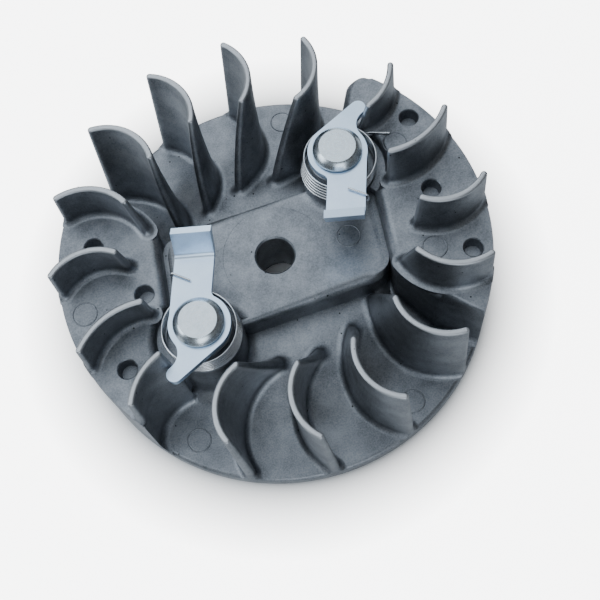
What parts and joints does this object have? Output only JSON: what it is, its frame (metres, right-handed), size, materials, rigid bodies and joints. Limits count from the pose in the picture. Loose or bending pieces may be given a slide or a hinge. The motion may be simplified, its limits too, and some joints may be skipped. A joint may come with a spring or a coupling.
{
  "type": "flywheel",
  "caption": "Die-cast fan flywheel of a small engine: curved cooling blades, cast-in ignition magnet, tapered crank bore and sprung starter pawls on a hub bar.",
  "frame": {"origin": "on the crankshaft axis at the underside of the rim", "axes": "+Z along the shaft towards the nut and the pawls; +X towards the magnet pad"},
  "size_m": [0.1032, 0.1032, 0.0377],
  "materials": {
    "casting": "as-cast, slightly grainy die-cast aluminium",
    "magnet": "dark coated magnet",
    "pole_steel": "machined laminated steel",
    "counterweight": "machined steel",
    "zinc_plate": "bright bluish zinc-plated stamped steel",
    "pin_steel": "bright zinc-plated turned steel",
    "spring_wire": "drawn spring wire"
  },
  "bodies": {
    "wheel": {"flywheel_casting": "casting", "magnet": "magnet", "pole_shoe_leading": "pole_steel", "pole_shoe_trailing": "pole_steel", "counterweight": "counterweight", "pawl_pin_a": "pin_steel", "pawl_pin_b": "pin_steel", "pawl_spring_a": "spring_wire", "pawl_spring_b": "spring_wire"},
    "pawl_a": {"starter_pawl_a": "zinc_plate"},
    "pawl_b": {"starter_pawl_b": "zinc_plate"}
  },
  "joints": [
    {"name": "pawl_a_swing", "type": "hinge", "parent": "wheel", "child": "pawl_a", "pos_m": [0.01934, 0.01797, 0.0294], "axis": [0, 0, 1], "range_deg": [0, 32], "stiffness_Nm_per_rad": 0.03, "springref_deg": -28.65, "deforming": ["pawl_spring_a"]},
    {"name": "pawl_b_swing", "type": "hinge", "parent": "wheel", "child": "pawl_b", "pos_m": [-0.01934, -0.01797, 0.0294], "axis": [0, 0, 1], "range_deg": [0, 32], "stiffness_Nm_per_rad": 0.03, "springref_deg": -28.65, "deforming": ["pawl_spring_b"]}
  ]
}
